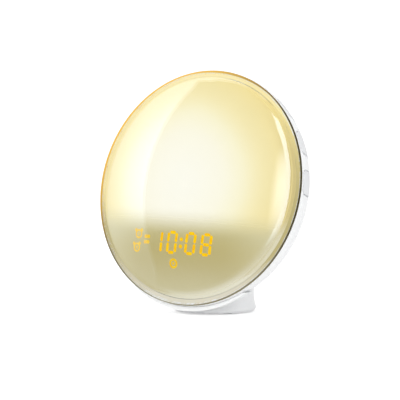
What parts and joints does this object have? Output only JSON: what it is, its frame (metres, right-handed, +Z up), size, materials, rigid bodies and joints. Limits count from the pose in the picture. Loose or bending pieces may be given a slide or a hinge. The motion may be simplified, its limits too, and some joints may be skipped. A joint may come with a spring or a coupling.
{
  "type": "sunrise alarm clock",
  "caption": "Round sunrise alarm clock: glowing domed face with a digital display, white bowl-shaped back with side keys, and a crescent foot that leans it back.",
  "frame": {"origin": "on the table, under the middle of the whole clock's box", "axes": "+X to the right as the face is read, +Y towards the back, +Z up"},
  "size_m": [0.1726, 0.0854, 0.1736],
  "materials": {
    "dome_lens": "high gloss, translucent, warm lit",
    "opal_plastic": "opal, translucent",
    "baffle_plastic": "moulded matt",
    "reflector_white": "moulded matt",
    "white_board": "white solder mask",
    "led_package": "clear moulded",
    "screw_steel": "zinc plated",
    "carrier_plastic": "moulded matt",
    "display_khaki": "moulded matt, lit warm from within",
    "amber_light": "lit amber",
    "unlit_bar": "clear, unlit",
    "switch_black": "moulded matt",
    "plunger_white": "moulded satin",
    "green_board": "solder mask",
    "chip_black": "moulded matt",
    "capacitor_can": "bright drawn",
    "contact_brass": "bright",
    "socket_steel": "nickel plated",
    "ribbon_gray": "extruded satin",
    "gasket_foam": "foam",
    "speaker_steel": "satin black",
    "cone_paper": "pressed paper",
    "magnet_iron": "ground",
    "cell_steel": "polished",
    "contact_steel": "nickel plated",
    "shell_white": "high gloss white",
    "key_white": "satin white",
    "foot_white": "satin white",
    "pad_rubber": "moulded gray rubber"
  },
  "bodies": {
    "case": {"front_dome": "dome_lens", "light_diffuser": "opal_plastic", "light_baffle": "baffle_plastic", "reflector_ring": "reflector_white", "light_board": "white_board", "sunrise_leds": "led_package", "light_board_screws": "screw_steel", "board_carrier": "carrier_plastic", "carrier_screws": "screw_steel", "display_housing": "display_khaki", "display_digits": "amber_light", "display_blank_bars": "unlit_bar", "display_colon": "amber_light", "display_marks": "amber_light", "display_leds": "led_package", "side_switches": "switch_black", "switch_plungers": "plunger_white", "main_board": "green_board", "main_board_screws": "screw_steel", "control_chips": "chip_black", "power_capacitors": "capacitor_can", "power_inlet": "switch_black", "power_inlet_pin": "contact_brass", "usb_socket": "socket_steel", "usb_tongue": "plunger_white", "ribbon_connectors": "plunger_white", "board_ribbon": "ribbon_gray", "speaker_gasket": "gasket_foam", "speaker_frame": "speaker_steel", "speaker_cone": "cone_paper", "speaker_magnet": "magnet_iron", "backup_cell": "cell_steel", "cell_contacts": "contact_steel", "rear_shell": "shell_white", "foot": "foot_white", "foot_pads": "pad_rubber", "foot_screws": "screw_steel"},
    "battery_cover": {"battery_cover": "shell_white"},
    "key_right_lower": {"key_right_lower": "key_white"},
    "key_right_middle": {"key_right_middle": "key_white"},
    "key_right_upper": {"key_right_upper": "key_white"},
    "key_left_lower": {"key_left_lower": "key_white"},
    "key_left_middle": {"key_left_middle": "key_white"},
    "key_left_upper": {"key_left_upper": "key_white"}
  },
  "joints": [
    {"name": "battery_cover_hinge", "type": "hinge", "parent": "case", "child": "battery_cover", "pos_m": [0, 0.02145, 0.0415], "axis": [-1, 0, 0], "range_deg": [0, 60]},
    {"name": "key_right_lower_press", "type": "slide", "parent": "case", "child": "key_right_lower", "axis": [-0.9932, -0.0302, -0.1127], "range_m": [0, 0.0006], "stiffness_N_per_m": 600, "springref_m": -0.0012},
    {"name": "key_right_middle_press", "type": "slide", "parent": "case", "child": "key_right_middle", "axis": [-0.891, -0.1175, -0.4385], "range_m": [0, 0.0006], "stiffness_N_per_m": 600, "springref_m": -0.0012},
    {"name": "key_right_upper_press", "type": "slide", "parent": "case", "child": "key_right_upper", "axis": [-0.6782, -0.1902, -0.7099], "range_m": [0, 0.0006], "stiffness_N_per_m": 600, "springref_m": -0.0012},
    {"name": "key_left_lower_press", "type": "slide", "parent": "case", "child": "key_left_lower", "axis": [0.9932, -0.0302, -0.1127], "range_m": [0, 0.0006], "stiffness_N_per_m": 600, "springref_m": -0.0012},
    {"name": "key_left_middle_press", "type": "slide", "parent": "case", "child": "key_left_middle", "axis": [0.891, -0.1175, -0.4385], "range_m": [0, 0.0006], "stiffness_N_per_m": 600, "springref_m": -0.0012},
    {"name": "key_left_upper_press", "type": "slide", "parent": "case", "child": "key_left_upper", "axis": [0.6782, -0.1902, -0.7099], "range_m": [0, 0.0006], "stiffness_N_per_m": 600, "springref_m": -0.0012}
  ]
}
